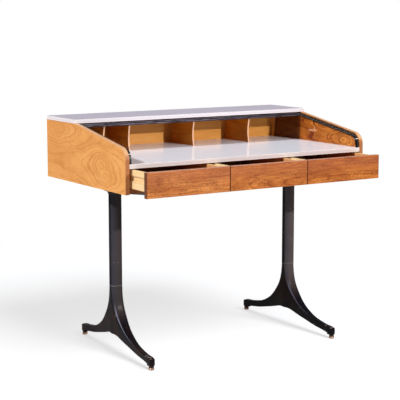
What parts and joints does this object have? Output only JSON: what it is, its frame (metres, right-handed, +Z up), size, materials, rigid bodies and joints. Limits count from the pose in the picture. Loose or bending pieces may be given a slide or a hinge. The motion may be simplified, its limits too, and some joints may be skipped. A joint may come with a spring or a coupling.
{
  "type": "tambour desk",
  "caption": "Writing desk with a roll curtain over pigeonholes, drawers under a white writing surface, and two cast pedestals on spreading toes.",
  "frame": {"origin": "on the floor, under the middle of the desk's outline with the drawers drawn out as at rest", "axes": "+X to the right along the width, +Y from the drawers to the back, +Z up"},
  "size_m": [1.07, 0.738, 0.889],
  "materials": {
    "panel_wood": "satin oiled veneer, lighter outside and darker inside",
    "rosewood": "satin oiled veneer",
    "front_rosewood": "satin oiled veneer",
    "case_back_wood": "satin oiled veneer",
    "pigeonhole_wood": "satin",
    "drawer_maple": "satin",
    "drawer_board": "matt hardboard",
    "runner_wood": "plain hardwood",
    "slat_wood": "satin slats",
    "white_laminate": "semi-gloss",
    "track_black": "satin",
    "bar_black": "worn black lacquer",
    "shoe_grey": "plain",
    "black_enamel": "semi-gloss enamel",
    "steel": "plain",
    "glide_copper": "worn",
    "cloth": "canvas"
  },
  "bodies": {
    "desk": {"case_back": "case_back_wood", "case_bottom": "rosewood", "left_back_glide": "glide_copper", "left_base_casting": "black_enamel", "left_bracket_screws": "steel", "left_column_bracket": "black_enamel", "left_column_tube": "black_enamel", "left_drawer_left_runner": "runner_wood", "left_drawer_partition": "rosewood", "left_drawer_right_runner": "runner_wood", "left_drawer_stop": "runner_wood", "left_front_glide": "glide_copper", "left_side_panel": "panel_wood", "left_tambour_track": "track_black", "left_tie_rod": "steel", "middle_drawer_left_runner": "runner_wood", "middle_drawer_right_runner": "runner_wood", "middle_drawer_stop": "runner_wood", "pigeonhole_back": "pigeonhole_wood", "pigeonhole_divider_1": "pigeonhole_wood", "pigeonhole_divider_2": "pigeonhole_wood", "pigeonhole_divider_3": "pigeonhole_wood", "pigeonhole_divider_4": "pigeonhole_wood", "pigeonhole_top": "pigeonhole_wood", "right_back_glide": "glide_copper", "right_base_casting": "black_enamel", "right_bracket_screws": "steel", "right_column_bracket": "black_enamel", "right_column_tube": "black_enamel", "right_drawer_left_runner": "runner_wood", "right_drawer_partition": "rosewood", "right_drawer_right_runner": "runner_wood", "right_drawer_stop": "runner_wood", "right_front_glide": "glide_copper", "right_side_panel": "panel_wood", "right_tambour_track": "track_black", "right_tie_rod": "steel", "tambour_cloth": "cloth", "tambour_slats": "slat_wood", "top_slab": "white_laminate", "writing_surface": "white_laminate"},
    "left_drawer": {"left_drawer_front": "front_rosewood", "left_drawer_left_side": "drawer_maple", "left_drawer_right_side": "drawer_maple", "left_drawer_back": "drawer_maple", "left_drawer_bottom": "drawer_board"},
    "middle_drawer": {"middle_drawer_front": "front_rosewood", "middle_drawer_left_side": "drawer_maple", "middle_drawer_right_side": "drawer_maple", "middle_drawer_back": "drawer_maple", "middle_drawer_bottom": "drawer_board"},
    "right_drawer": {"right_drawer_front": "front_rosewood", "right_drawer_left_side": "drawer_maple", "right_drawer_right_side": "drawer_maple", "right_drawer_back": "drawer_maple", "right_drawer_bottom": "drawer_board"},
    "pull_bar": {"tambour_pull_bar": "bar_black", "left_bar_shoe": "shoe_grey", "right_bar_shoe": "shoe_grey"}
  },
  "joints": [
    {"name": "left_drawer_slide", "type": "slide", "parent": "desk", "child": "left_drawer", "axis": [0, -1, 0], "range_m": [-0.118, 0.18]},
    {"name": "middle_drawer_slide", "type": "slide", "parent": "desk", "child": "middle_drawer", "axis": [0, -1, 0], "range_m": [-0.118, 0.18]},
    {"name": "right_drawer_slide", "type": "slide", "parent": "desk", "child": "right_drawer", "axis": [0, -1, 0], "range_m": [-0.118, 0.18]},
    {"name": "tambour_slide", "type": "slide", "parent": "desk", "child": "pull_bar", "axis": [0, -0.9866, -0.1633], "range_m": [0, 0.347]}
  ]
}
